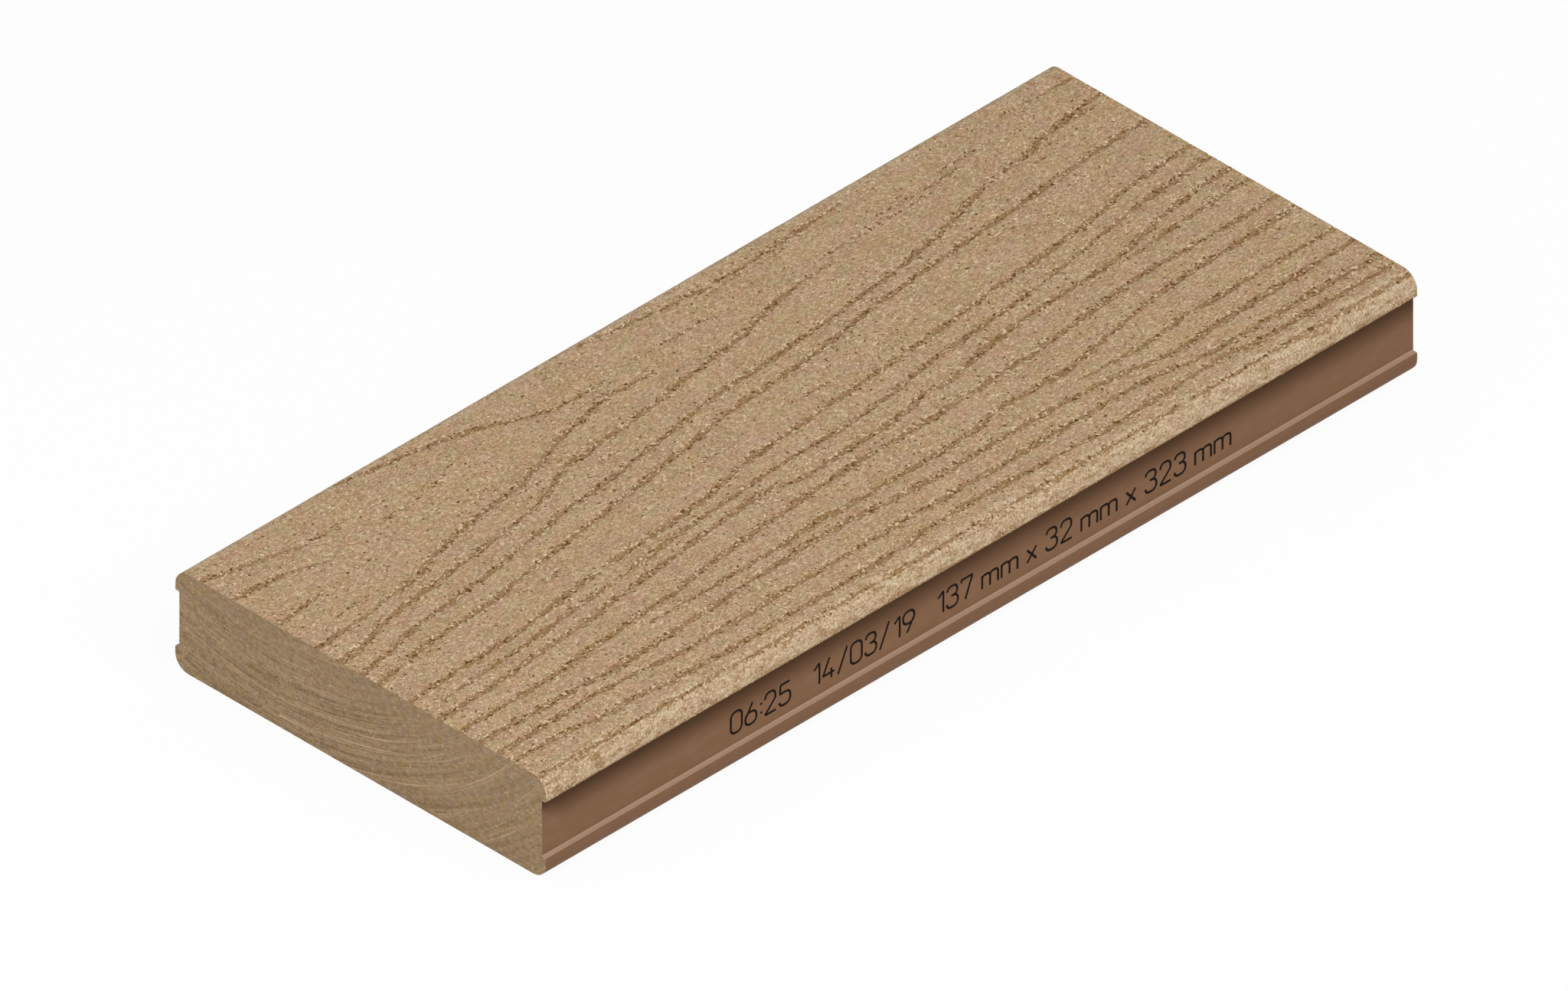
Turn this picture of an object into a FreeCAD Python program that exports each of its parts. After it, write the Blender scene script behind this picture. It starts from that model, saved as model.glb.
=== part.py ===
import FreeCAD, Part
import math
import os

import Sketcher

# Solid composite decking board, shown as a short sawn length.
#
# The board is one extruded piece of wood fibre and plastic. Its long edges are rounded, and each side
# has a shallow groove for a hidden deck clip, between a thick upper lip and a thinner lower lip.
# Both ends are sawn square. The embossed grain of the walking face is surface relief and isn't modelled
# here: the walking face is the plane that the high spots of the grain reach.
#
# Sizes are in millimetres. +X runs along the board, +Y across it and +Z up out of the walking face.
# The origin is the middle of the underside.

# Driving dimensions, each written once: name, value, what it is.
DIMENSIONS = [
    ("board_width", 137.0, "across the board, over the lips"),
    ("board_thickness", 32.0, "underside to walking face"),
    ("board_length", 323.0, "between the two sawn ends"),
    ("top_edge_radius", 5.0, "rounding of the two long edges of the walking face"),
    ("bottom_edge_radius", 4.8, "rounding of the two long edges of the underside"),
    ("upper_lip_height", 7.1, "walking face down to the groove"),
    ("lower_lip_height", 7.0, "underside up to the groove"),
    ("groove_depth", 1.5, "from the lips in to the groove wall"),
    ("lip_arris_radius", 0.4, "eased outer edge of each lip where the groove opens"),
    ("groove_root_radius", 0.4, "inner corner of the groove against its wall"),
]

# How far the groove's cutter profile stands out past the lips, so that it cuts their whole face.
CUTTER_OVERRUN = 2.0

# A point lies on an edge when it is closer than this.
ON_EDGE = 1e-4

NODE = "decking_board"
PARTS_FOLDER = "parts"


def make_sheet(doc):
    """The spreadsheet that holds the driving dimensions, one row each."""
    sheet = doc.addObject("Spreadsheet::Sheet", "dimensions")
    for row, (name, value, meaning) in enumerate(DIMENSIONS, start=1):
        sheet.set(f"A{row}", name)
        sheet.set(f"B{row}", str(value))
        sheet.set(f"C{row}", meaning)
        sheet.setAlias(f"B{row}", name)
    doc.recompute()
    return sheet


def origin_feature(body, role):
    """The body's own origin plane or axis with that role."""
    return next(f for f in body.Origin.OriginFeatures if f.Role == role)


def section_sketch(body, name):
    """An empty sketch on the plane across the board: its x is the board's +Y and its y is +Z."""
    sketch = body.newObject("Sketcher::SketchObject", name)
    sketch.AttachmentSupport = [(origin_feature(body, "YZ_Plane"), "")]
    sketch.MapMode = "FlatFace"
    return sketch


def add_rectangle(sketch, left, bottom, right, top):
    """Four lines, bottom, right, top and left, joined and kept square. Returns their indices."""
    corners = [(left, bottom), (right, bottom), (right, top), (left, top)]
    lines = []
    for start, end in zip(corners, corners[1:] + corners[:1]):
        line = Part.LineSegment(FreeCAD.Vector(*start, 0), FreeCAD.Vector(*end, 0))
        lines.append(sketch.addGeometry(line, False))
    for line, following in zip(lines, lines[1:] + lines[:1]):
        sketch.addConstraint(Sketcher.Constraint("Coincident", line, 2, following, 1))
    for line in (lines[0], lines[2]):
        sketch.addConstraint(Sketcher.Constraint("Horizontal", line))
    for line in (lines[1], lines[3]):
        sketch.addConstraint(Sketcher.Constraint("Vertical", line))
    return lines


def bind_distance(sketch, kind, line, name, value, expression):
    """A named distance on the sketch, bound to the sheet. A line's length, or its end's offset from the origin."""
    if kind == "length_x":
        constraint = Sketcher.Constraint("DistanceX", line, 1, line, 2, value)
    elif kind == "length_y":
        constraint = Sketcher.Constraint("DistanceY", line, 1, line, 2, value)
    elif kind == "offset_x":
        constraint = Sketcher.Constraint("DistanceX", -1, 1, line, 1, value)
    else:
        constraint = Sketcher.Constraint("DistanceY", -1, 1, line, 1, value)
    index = sketch.addConstraint(constraint)
    sketch.renameConstraint(index, name)
    sketch.setExpression(f"Constraints.{name}", expression)


def make_blank(body, sheet):
    """The square-edged blank: the board's full width and thickness, extruded to its length."""
    sketch = section_sketch(body, "blank_section")
    half_width = sheet.board_width / 2
    bottom, right = add_rectangle(sketch, -half_width, 0.0, half_width, sheet.board_thickness)[:2]
    sketch.addConstraint(Sketcher.Constraint("Symmetric", bottom, 1, bottom, 2, -1, 1))
    bind_distance(sketch, "length_x", bottom, "width", sheet.board_width, "dimensions.board_width")
    bind_distance(sketch, "length_y", right, "thickness", sheet.board_thickness, "dimensions.board_thickness")
    blank = body.newObject("PartDesign::Pad", "board_blank")
    blank.Profile = sketch
    blank.SideType = "Symmetric"
    blank.setExpression("Length", "dimensions.board_length")
    body.Document.recompute()
    return blank


def long_edges(shape, places):
    """Names of the straight edges that run along the board through each (y, z) place in the section."""
    names = []
    for number, edge in enumerate(shape.Edges, start=1):
        middle = edge.BoundBox.Center
        runs_along = edge.BoundBox.YLength < ON_EDGE and edge.BoundBox.ZLength < ON_EDGE
        if runs_along and any(math.dist((middle.y, middle.z), place) < ON_EDGE for place in places):
            names.append(f"Edge{number}")
    if len(names) != len(places):
        raise RuntimeError(f"found {len(names)} long edges at {len(places)} places")
    return names


def round_long_edges(body, name, places, radius_name):
    """A fillet along the board at each (y, z) place, its radius bound to the sheet."""
    base = body.Tip
    fillet = body.newObject("PartDesign::Fillet", name)
    fillet.Base = (base, long_edges(base.Shape, places))
    fillet.setExpression("Radius", f"dimensions.{radius_name}")
    body.Document.recompute()
    return fillet


def cut_clip_groove(body, sheet):
    """The groove of one side, sawn the whole length of the board between its two lips."""
    sketch = section_sketch(body, "clip_groove_section")
    wall = sheet.board_width / 2 - sheet.groove_depth
    floor = sheet.lower_lip_height
    height = sheet.board_thickness - sheet.upper_lip_height - floor
    reach = sheet.groove_depth + CUTTER_OVERRUN
    bottom, right = add_rectangle(sketch, wall, floor, wall + reach, floor + height)[:2]
    bind_distance(sketch, "offset_x", bottom, "wall", wall,
                  "dimensions.board_width / 2 - dimensions.groove_depth")
    bind_distance(sketch, "offset_y", bottom, "floor", floor, "dimensions.lower_lip_height")
    bind_distance(sketch, "length_x", bottom, "reach", reach, f"dimensions.groove_depth + {CUTTER_OVERRUN}")
    bind_distance(sketch, "length_y", right, "height", height,
                  "dimensions.board_thickness - dimensions.upper_lip_height - dimensions.lower_lip_height")
    groove = body.newObject("PartDesign::Pocket", "clip_groove")
    groove.Profile = sketch
    groove.SideType = "Symmetric"
    groove.Type = "ThroughAll"
    body.Document.recompute()
    return groove


def mirror_to_other_side(body, feature):
    """The same cut on the board's other side, across the plane that runs down its middle."""
    mirrored = body.newObject("PartDesign::Mirrored", "opposite_clip_groove")
    mirrored.Originals = [feature]
    mirrored.MirrorPlane = (origin_feature(body, "XZ_Plane"), [""])
    body.Tip = mirrored
    body.Document.recompute()
    return mirrored


def both_sides(places):
    """Each (y, z) place, and the same place on the board's other side."""
    return places + [(-y, z) for y, z in places]


def make_board(doc, sheet):
    """The whole board, feature by feature."""
    body = doc.addObject("PartDesign::Body", NODE)
    body.Label = NODE
    outside = sheet.board_width / 2
    wall = outside - sheet.groove_depth
    groove_floor = sheet.lower_lip_height
    groove_ceiling = sheet.board_thickness - sheet.upper_lip_height

    blank = make_blank(body, sheet)
    round_long_edges(body, "walking_face_edges", both_sides([(outside, sheet.board_thickness)]),
                     "top_edge_radius")
    rounded = round_long_edges(body, "underside_edges", both_sides([(outside, 0.0)]),
                               "bottom_edge_radius")
    groove = cut_clip_groove(body, sheet)
    grooved = mirror_to_other_side(body, groove)
    round_long_edges(body, "lip_arrises",
                     both_sides([(outside, groove_floor), (outside, groove_ceiling)]),
                     "lip_arris_radius")
    round_long_edges(body, "groove_roots",
                     both_sides([(wall, groove_floor), (wall, groove_ceiling)]),
                     "groove_root_radius")
    check_cuts(sheet, blank, rounded, grooved)
    return body


def check_cuts(sheet, blank, rounded, grooved):
    """The rounded edges and the two grooves took away what their sizes say."""
    corner_waste = (1 - math.pi / 4) * sheet.board_length * 2
    edge_waste = corner_waste * (sheet.top_edge_radius ** 2 + sheet.bottom_edge_radius ** 2)
    groove_height = sheet.board_thickness - sheet.upper_lip_height - sheet.lower_lip_height
    groove_waste = 2 * sheet.groove_depth * groove_height * sheet.board_length
    for name, before, after, expected in (
        ("rounded edges", blank, rounded, edge_waste),
        ("clip grooves", rounded, grooved, groove_waste),
    ):
        removed = before.Shape.Volume - after.Shape.Volume
        print(f"{name}: removed {removed:.1f} mm3, expected {expected:.1f} mm3")
        if abs(removed - expected) > 0.01 * expected:
            raise RuntimeError(f"the {name} removed {removed:.1f} mm3 and not {expected:.1f} mm3")


def check_document(doc):
    """Every object of the document was recomputed without an error."""
    for item in doc.Objects:
        if "Invalid" in item.State or "Error" in item.State:
            raise RuntimeError(f"{item.Name} failed: {item.State}")


def export(body):
    """Writes the board as one closed solid to its own file."""
    shape = body.Shape
    if shape.isNull() or not shape.isValid() or len(shape.Solids) != 1:
        raise RuntimeError(f"{body.Label} isn't one valid solid")
    os.makedirs(PARTS_FOLDER, exist_ok=True)
    shape.exportStep(os.path.join(PARTS_FOLDER, f"{body.Label}.step"))
    box = shape.BoundBox
    print(f"{body.Label}: {box.XLength:.2f} x {box.YLength:.2f} x {box.ZLength:.2f} mm, "
          f"{shape.Volume / 1000:.1f} cm3, {len(shape.Faces)} faces")


def main():
    doc = FreeCAD.newDocument("decking_board_model")
    sheet = make_sheet(doc)
    body = make_board(doc, sheet)
    doc.recompute()
    check_document(doc)
    export(body)


main()
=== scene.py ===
import math

import bpy
from mathutils import Euler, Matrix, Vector


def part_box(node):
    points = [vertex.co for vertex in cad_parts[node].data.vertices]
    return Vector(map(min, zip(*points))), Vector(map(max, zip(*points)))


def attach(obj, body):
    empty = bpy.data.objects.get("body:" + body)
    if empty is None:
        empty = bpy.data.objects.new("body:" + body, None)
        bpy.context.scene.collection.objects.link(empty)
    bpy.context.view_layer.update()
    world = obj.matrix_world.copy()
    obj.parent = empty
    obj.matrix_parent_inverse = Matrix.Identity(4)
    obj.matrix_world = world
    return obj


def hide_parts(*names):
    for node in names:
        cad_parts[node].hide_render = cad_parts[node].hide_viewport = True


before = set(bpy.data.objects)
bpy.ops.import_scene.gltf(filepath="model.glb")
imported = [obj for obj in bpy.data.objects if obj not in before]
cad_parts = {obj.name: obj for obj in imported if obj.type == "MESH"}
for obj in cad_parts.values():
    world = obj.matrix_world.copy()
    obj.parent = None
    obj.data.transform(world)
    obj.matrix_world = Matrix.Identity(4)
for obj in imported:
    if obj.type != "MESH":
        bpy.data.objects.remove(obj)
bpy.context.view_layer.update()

bl_info = {
    "name": "Composite decking board",
    "version": (1, 0, 0),
    "blender": (4, 5, 0),
    "location": "3D View > Sidebar > Decking",
    "description": "Dresses a short length of solid wood-plastic decking board and its studio",
    "category": "Add Mesh",
}

# The board is one extruded piece of wood fibre and plastic. Its walking face is embossed with a wood grain
# and wire-brushed, both ends are sawn, and everything else keeps the smooth brown skin of the die.
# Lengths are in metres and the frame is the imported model's: +X along the board, +Y across it, +Z up.
NODE = "decking_board"
BODY = "root"
MM = 0.001
NEAR_CORNER, FAR_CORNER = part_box(NODE)

# The camera repeats the photograph's parallel view. The photograph's frame is 2048 pixels wide, a metre
# in the picture plane is 4991 pixels, and the middle of the board's underside falls on this pixel.
PHOTO_SIZE_PIXELS = (2048, 1294)
PHOTO_PIXELS_PER_METRE = 4991
BOARD_ORIGIN_PIXEL = (1040.0, 679.6)
CAMERA_DISTANCE = 1.5

# The grain lines of the walking face, read off the photograph. Each has its width as a share of a full
# groove, and the places that it passes, in millimetres along from the near end and across from the left edge.
# A line that leaves the board at an end runs on for 3 mm.
GRAIN_LINES = (
    (0.85, ((-3, 8.7), (8, 11.2), (29.9, 16.2), (45.9, 17.2))),
    (0.9, ((-3, 20.6), (16.9, 22.4), (29.9, 26.3))),
    (0.9, ((-3, 37.6), (13, 36.1), (18.5, 35.5))),
    (0.85, ((53.8, 3.2), (72.8, 6), (93.7, 10), (103.7, 13.4), (120.6, 19.5), (139.6, 20.1))),
    (0.75, ((139.6, 3.2), (164.5, 6.7), (190.4, 9.2), (218.3, 8.4), (239.3, 7.2))),
    (0.4, ((186.4, 11.5), (216.3, 11.2))),
    (0.4, ((149.6, 19.2), (180.5, 19.6))),
    (0.4, ((218.3, 21.1), (259.2, 20.6))),
    (0.4, ((242.3, 18.2), (262.2, 18.4), (276.2, 17.2))),
    (0.4, ((268.2, 15.5), (289.1, 15.2))),
    (0.5, ((297.1, 8.7), (316, 9.8), (326, 10.2))),
    (0.9, ((-3, 52.5), (20.9, 50.5), (41.9, 47.5), (49.9, 44.5), (68.8, 40.3), (91.7, 37.4),
           (107.7, 31.6), (120.6, 28.4), (134.6, 26.1), (151.5, 26.1))),
    (1.0, ((-3, 61.3), (8, 59.8), (20.9, 56.5), (36.9, 53.8), (74.8, 49.2), (90.7, 46), (103.7, 40.4),
           (111.7, 39.8), (141.6, 36.5), (151.5, 34.6), (176.5, 31.8), (189.4, 28.4), (199.4, 26.1),
           (218.3, 24.1))),
    (1.0, ((-3, 69.4), (15, 66.1), (25.9, 63.4), (55.8, 60.2), (87.7, 54.6), (111.7, 52), (132.6, 49),
           (151.5, 45.6), (176.5, 44), (209.4, 41), (228.3, 38.6), (249.2, 34.9), (270.2, 28.8),
           (291.1, 26.1), (301.1, 22.6), (326, 20.1))),
    (0.7, ((293.1, 25.6), (305.1, 23.1), (326, 23))),
    (1.0, ((-3, 75.4), (21.9, 71.1), (44.9, 69.7), (66.8, 66.4), (87.7, 63.6), (111.7, 59.8),
           (132.6, 56.2), (157.5, 52.6), (187.4, 50.3), (209.4, 46.7), (233.3, 44.3), (259.2, 42),
           (283.1, 39.9), (304.1, 37.9), (326, 37.4))),
    (1.0, ((-3, 86.4), (41.9, 84.1), (72.8, 80.1), (111.7, 77.1), (129.6, 74.1), (149.6, 71.1),
           (187.4, 68.2), (218.3, 65.5), (239.3, 62.9), (261.2, 61.2), (289.1, 57.5), (296.1, 55.5),
           (326, 53.2))),
    (0.9, ((7, 91.8), (41.9, 89.1), (82.8, 85), (107.7, 82.1), (149.6, 79.2), (171.5, 79.2),
           (197.4, 75.9), (207.4, 74.1), (244.3, 70.7), (269.2, 67.1), (289.1, 63.7), (326, 60.1))),
    (1.0, ((-3, 97.8), (30.9, 95.6), (61.8, 92.8), (83.7, 90.1), (116.6, 86.5), (133.6, 84.8),
           (145.6, 87.8), (180.5, 86), (195.4, 83.6), (201.4, 84.3), (218.3, 80.7), (242.3, 77.5),
           (267.2, 76.5), (286.1, 73.4), (299.1, 70.1), (326, 67.9))),
    (0.7, ((273.2, 78.2), (297.1, 76.3), (326, 74.9))),
    (1.1, ((-3, 105.2), (34.9, 104.5), (49.9, 102.8), (83.7, 100.3), (103.7, 97.5), (129.6, 95),
           (157.5, 92.7), (181.5, 92.8), (207.4, 91.5), (239.3, 89.6), (270.2, 85.7), (291.1, 86),
           (326, 85.5))),
    (1.0, ((69.8, 105.4), (97.7, 105.7), (124.6, 105), (134.6, 103.8), (144.6, 104.9), (185.4, 104.7),
           (203.4, 102.2), (228.3, 102.2), (249.2, 98.6), (270.2, 94.8), (299.1, 93.6), (326, 92.6))),
    (1.1, ((-3, 111.9), (29.9, 112.9), (61.8, 113.4), (97.7, 111.3), (132.6, 109.6), (167.5, 112),
           (199.4, 111.9), (228.3, 112.8), (251.2, 116.1), (279.2, 115.2), (326, 113.9))),
    (0.9, ((224.3, 107.5), (249.2, 108.7), (270.2, 107.1), (326, 106.6))),
    (1.1, ((-3, 119.7), (39.9, 118.3), (69.8, 120.7), (132.6, 120.2), (187.4, 120.3), (239.3, 120.3),
           (261.2, 123.3), (326, 123.3))),
    (1.1, ((-3, 124.2), (20.9, 125), (31.9, 126.8), (41.9, 126.2), (61.8, 128.6), (132.6, 128.6),
           (157.5, 127), (179.5, 127), (218.3, 128.5), (258.2, 127), (274.2, 128.6), (326, 128.8))),
    (0.6, ((-3, 133.9), (103.7, 134.5), (249.2, 134.4), (326, 134.6))),
    (0.35, ((53.8, 23.8), (71.8, 22.1), (78.8, 20.4))),
    (0.35, ((14, 45.5), (27.9, 44.8))),
    (0.35, ((16, 74.4), (26.9, 74.2))),
    (0.35, ((54.8, 72.4), (70.8, 72.2))),
    (0.35, ((112.7, 63.7), (143.6, 64.4))),
    (0.35, ((165.5, 61.6), (185.4, 62.2))),
    (0.35, ((194.4, 52.5), (203.4, 52.5))),
    (0.35, ((125.6, 23.9), (137.6, 24.1))),
    (0.35, ((109.7, 45.3), (123.6, 45.2))),
    (0.35, ((286.1, 30.3), (300.1, 30.4))),
)
TAPERED_END_SHARE = 0.3
LINE_STEP = 1.0 * MM

# Blender's noise runs from 0 to 1 and lies evenly about this value.
NOISE_MIDDLE = 0.5

# The edge of a groove is torn in and out by this much, in clumps of this size along, across and up.
# The mesh and the walking face's material use the same noise, so colour and relief agree.
RAGGED_REACH_MM = 3.1
RAGGED_CLUMP_MM = (1.3, 0.9, 0.9)

# A groove's side slopes from the first distance outside its torn edge to the second. Its depth starts to
# grow from the first distance inside the saw cut and is full at the second, and above the lip's arris it
# is full after this fade.
GROOVE_SLOPE = (0.3 * MM, -0.5 * MM)
RUN_OUT = (-1.0 * MM, 3.0 * MM)
PRESS_FADE = 1.2 * MM

# A face is at an end when its normal lies along the board by more than this share, and the brushed
# finish starts this share of the corner's radius above the groove's ceiling.
END_FACING = 0.9
BRUSHED_CORNER_SHARE = 0.4

# How far the grit tears the outlines of flecks, curls, pits and ticks, as a share of its own level.
GRIT_SHARE = 0.35

# The lip's paler colour, a painted highlight along the rounded long edges and the lip's outer face, starts
# this far in from the board's side, and is full after the blend.
LIP_REACH = 6.5 * MM
LIP_BLEND = 3.5 * MM

# The saw frayed the near end's right half. This fades out so far along, and so far left of the middle.
FRAYED_ALONG = 50 * MM
FRAYED_ACROSS = 30 * MM

# Generic figures for the printed line: a time, a date and the board's size, none of them from the photo.
PRINTED_LINE = "06:25   14/03/19   137 mm x 32 mm x 323 mm"

# Each character is drawn with a pen as strokes through (x, y, corner radius), in shares of its height.
# A stroke whose last place repeats its first is a closed ring.
PEN_STROKES = {
    "0": [[(0, 0, .25), (.5, 0, .25), (.5, 1, .25), (0, 1, .25), (0, 0, .25)]],
    "1": [[(.08, .76, 0), (.32, 1, 0), (.32, 0, 0)]],
    "2": [[(.02, .74, 0), (.02, 1, .23), (.48, 1, .23), (.48, .6, .12), (0, 0, 0), (.5, 0, 0)]],
    "3": [[(.02, .8, 0), (.02, 1, .2), (.47, 1, .22), (.47, .54, .2), (.2, .54, 0)],
          [(.2, .54, 0), (.5, .54, .25), (.5, 0, .25), (0, 0, .22), (0, .22, 0)]],
    "4": [[(.3, 1, 0), (0, .24, 0), (.52, .24, 0)], [(.38, .44, 0), (.38, 0, 0)]],
    "5": [[(.46, 1, 0), (.06, 1, 0), (.03, .58, 0), (.5, .62, .25), (.5, 0, .25), (0, 0, .2), (0, .2, 0)]],
    "6": [[(0, 0, .25), (.5, 0, .25), (.5, .58, .25), (0, .58, .25), (0, 0, .25)],
          [(.03, .4, 0), (.33, 1, 0)]],
    "7": [[(0, .86, 0), (0, 1, 0), (.5, 1, 0), (.18, 0, 0)]],
    "9": [[(0, .42, .25), (.5, .42, .25), (.5, 1, .25), (0, 1, .25), (0, .42, .25)],
          [(.47, .6, 0), (.17, 0, 0)]],
    ":": [[(.06, .2, 0), (.06, .3, 0)], [(.06, .62, 0), (.06, .72, 0)]],
    "/": [[(0, -.06, 0), (.42, 1.06, 0)]],
    "x": [[(0, 0, 0), (.42, .6, 0)], [(0, .6, 0), (.42, 0, 0)]],
    "m": [[(0, 0, 0), (0, .64, 0)], [(0, .4, 0), (0, .62, .15), (.36, .62, .15), (.36, 0, 0)],
          [(.36, .4, 0), (.36, .62, .15), (.72, .62, .15), (.72, 0, 0)]],
}
CHARACTER_GAP = 0.16
WIDENED = 1.22
SPACE_WIDTH = 0.28
SHARPEST_CORNER = 0.03
STROKE_LAYER_MM = 0.01

# The figures' height, their start along the board and their foot above the underside, then the pen's
# width and the film's thickness.
FIGURE_HEIGHT = 6.7 * MM
PRINT_START = -91.5 * MM
PRINT_LEVEL = 10.7 * MM
PEN_WIDTH = 0.72 * MM
INK_FILM = 0.06 * MM

# How far the painted shade under the upper lip reaches down the groove's wall, and how far to each side of
# the near end it tapers.
SHADE_REACH = 11 * MM
SHADE_TAPER = 10 * MM

# The blade came down while it cut, so the arcs of the sawn end are drawn about two hubs, each at this y
# and z, and cross in the middle. The pattern moves round by ARC_STAGGER millimetres for each millimetre
# out from the hub.
EARLY_HUB = (30.0 * MM, 130.0 * MM)
LATE_HUB = (22.0 * MM, 98.0 * MM)
ARC_STAGGER = 17.0

# The studio: the softboxes' side and places in metres, the floor's drop below the board, and the share of
# pure white in the floor that the camera sees.
SOFTBOX_SIDE = 1.2
KEY_PLACE = (-0.25, -0.9, 1.3)
FILL_PLACE = (-1.4, 0.3, 0.8)
FLOOR_DROP = 0.1 * MM
FLOOR_WHITE_SHARE = 0.94


def linear(hex_colour):
    """A colour written as sRGB hex, such as "#AD9170", as linear red, green, blue and alpha."""
    channels = [int(hex_colour[i:i + 2], 16) / 255 for i in (1, 3, 5)]
    return tuple(c / 12.92 if c <= 0.04045 else ((c + 0.055) / 1.055) ** 2.4 for c in channels) + (1.0,)


def length_property(name, description, default):
    """A length that the sidebar shows, in metres."""
    return bpy.props.FloatProperty(name=name, description=description, default=default, min=0.0,
                                   unit="LENGTH", precision=5)


def colour_property(name, description, hex_colour):
    """A colour that the sidebar shows."""
    return bpy.props.FloatVectorProperty(name=name, description=description, default=linear(hex_colour),
                                         size=4, min=0.0, max=1.0, subtype="COLOR")


class BoardSizes(bpy.types.PropertyGroup):
    """Length and section of the board, and the size of its mesh's steps"""

    length: length_property("Length", "Between the sawn ends", FAR_CORNER[0] - NEAR_CORNER[0])
    width: length_property("Width", "Across the board, over the lips", FAR_CORNER[1] - NEAR_CORNER[1])
    thickness: length_property("Thickness", "Underside to walking face", FAR_CORNER[2] - NEAR_CORNER[2])
    top_radius: length_property("Top radius", "Rounding of the walking face's long edges", 5.0 * MM)
    bottom_radius: length_property("Bottom radius", "Rounding of the underside's long edges", 4.8 * MM)
    upper_lip: length_property("Upper lip", "Walking face down to the clip groove", 7.1 * MM)
    lower_lip: length_property("Lower lip", "Underside up to the clip groove", 7.0 * MM)
    groove_depth: length_property("Clip groove depth", "From the lips in to the wall", 1.5 * MM)
    corner_radius: length_property("Corner radius", "Lip arrises and groove roots", 0.4 * MM)
    step_across: length_property("Step across", "Mesh step across the embossed face", 0.5 * MM)
    step_along: length_property("Step along", "Mesh step along the board", 1.25 * MM)


class GrainSizes(bpy.types.PropertyGroup):
    """Sizes of the embossed grain"""

    width: length_property("Groove width", "Width of a full grain groove", 1.65 * MM)
    depth: length_property("Groove depth", "Depth of a full grain groove", 0.3 * MM)
    wander: length_property("Wander", "How far a groove strays from its drawn line", 0.6 * MM)
    brushing: length_property("Brushing", "How deep the wire brush cut the high ground", 0.12 * MM)


class BoardColours(bpy.types.PropertyGroup):
    """Colours of the composite, in each of its finishes"""

    face: colour_property("Walking face", "Brushed high ground", "#B09170")
    face_pale: colour_property("Pale fibre", "Fibres that the brush raised", "#D3BA97")
    face_dark: colour_property("Dark fibre", "Shade between the fibres", "#8F7350")
    face_warm: colour_property("Warm patch", "Ground with more red in it", "#B98F74")
    face_cool: colour_property("Cool patch", "Ground with more green in it", "#AA9771")
    face_gold: colour_property("Golden patch", "Ground with more yellow in it", "#B39564")
    face_ashen: colour_property("Ashen patch", "Ground with less yellow in it", "#B19280")
    fleck: colour_property("Fleck", "Bare wood fibre that catches the light", "#E2CAA8")
    # The lip's paler colour is a painted highlight along the rounded long edges and the lip's outer face.
    lip: colour_property("Lip", "The rounded long edges, brushed palest", "#BBA386")
    lip_pale: colour_property("Pale lip", "Where the brush wore the lip palest", "#CFBDA3")
    groove: colour_property("Grain groove", "Pressed and unbrushed composite", "#94734F")
    groove_red: colour_property("Red groove", "Grooves where the composite is redder", "#96704E")
    groove_gold: colour_property("Golden groove", "Grooves where the composite is yellower", "#917545")
    pit: colour_property("Pit", "Pits and torn ticks", "#66451F")
    sawn: colour_property("Sawn end", "Cross-cut composite", "#9C8264")
    sawn_dark: colour_property("Dark cut", "Dark grain in the sawn end", "#70583A")
    sawn_warm: colour_property("Warm cut", "Cut composite with more red and yellow in it", "#9C7F55")
    sawn_cool: colour_property("Cool cut", "Cut composite with less of both", "#968169")
    saw_mark: colour_property("Saw mark", "Pale arcs left by the blade", "#BFA785")
    straw: colour_property("Cut fibre", "Fibres cut across, pale yellow", "#CDB28D")
    skin: colour_property("Skin", "Smooth skin from the extrusion die", "#805E44")
    # This dark brown is painted shade under the upper lip. It also darkens the draw lines, the lower lip a
    # little and patches of the ink.
    skin_shaded: colour_property("Shaded skin", "Skin tucked under the upper lip", "#4A2E15")
    # Paler skin for the mottle, and a painted highlight along the up-facing ledge.
    pale_skin_and_ledge_highlight: colour_property("Rubbed skin", "Skin of the ledge, rubbed pale", "#AD917C")
    ink: colour_property("Ink", "Printed figures", "#1A1512")


class StudioSettings(bpy.types.PropertyGroup):
    """Camera angles and light levels"""

    azimuth: bpy.props.FloatProperty(name="Azimuth", description="Camera's turn about the upright",
                                     default=math.radians(-45.1), subtype="ANGLE")
    elevation: bpy.props.FloatProperty(name="Elevation", description="Camera's height above the horizon",
                                       default=math.radians(35.4), subtype="ANGLE")
    ambient: bpy.props.FloatProperty(name="Ambient", description="Strength of the light from all round",
                                     default=0.5, min=0.0)
    key: bpy.props.FloatProperty(name="Key lamp", description="Power of the softbox above the right side",
                                 default=15.0, min=0.0, unit="POWER")
    fill: bpy.props.FloatProperty(name="Fill lamp", description="Power of the softbox by the near end",
                                  default=4.0, min=0.0, unit="POWER")
    floor_size: length_property("Floor size", "Side of the square floor", 8.0)


def add_node(tree, kind, inputs=None, **settings):
    """Adds a node. inputs gives sockets by name or number, each a plain value or an output to link from."""
    node = tree.nodes.new(kind)
    for name, value in settings.items():
        setattr(node, name, value)
    for socket, value in (inputs or {}).items():
        if isinstance(value, bpy.types.NodeSocket):
            tree.links.new(value, node.inputs[socket])
        else:
            node.inputs[socket].default_value = value
    return node


def clump_noise(tree, position, clump_mm, detail=2.0, offset=0.0):
    """Noise whose clumps measure clump_mm along, across and up. It serves materials and meshes alike."""
    density = tuple(1 / (side * MM) for side in clump_mm)
    scaled = add_node(tree, "ShaderNodeVectorMath",
                      {0: position, 1: density, 2: (offset, offset, offset)}, operation="MULTIPLY_ADD")
    noise = add_node(tree, "ShaderNodeTexNoise",
                     {"Vector": scaled.outputs[0], "Scale": 1.0, "Detail": detail})
    return noise.outputs["Fac"]


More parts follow.
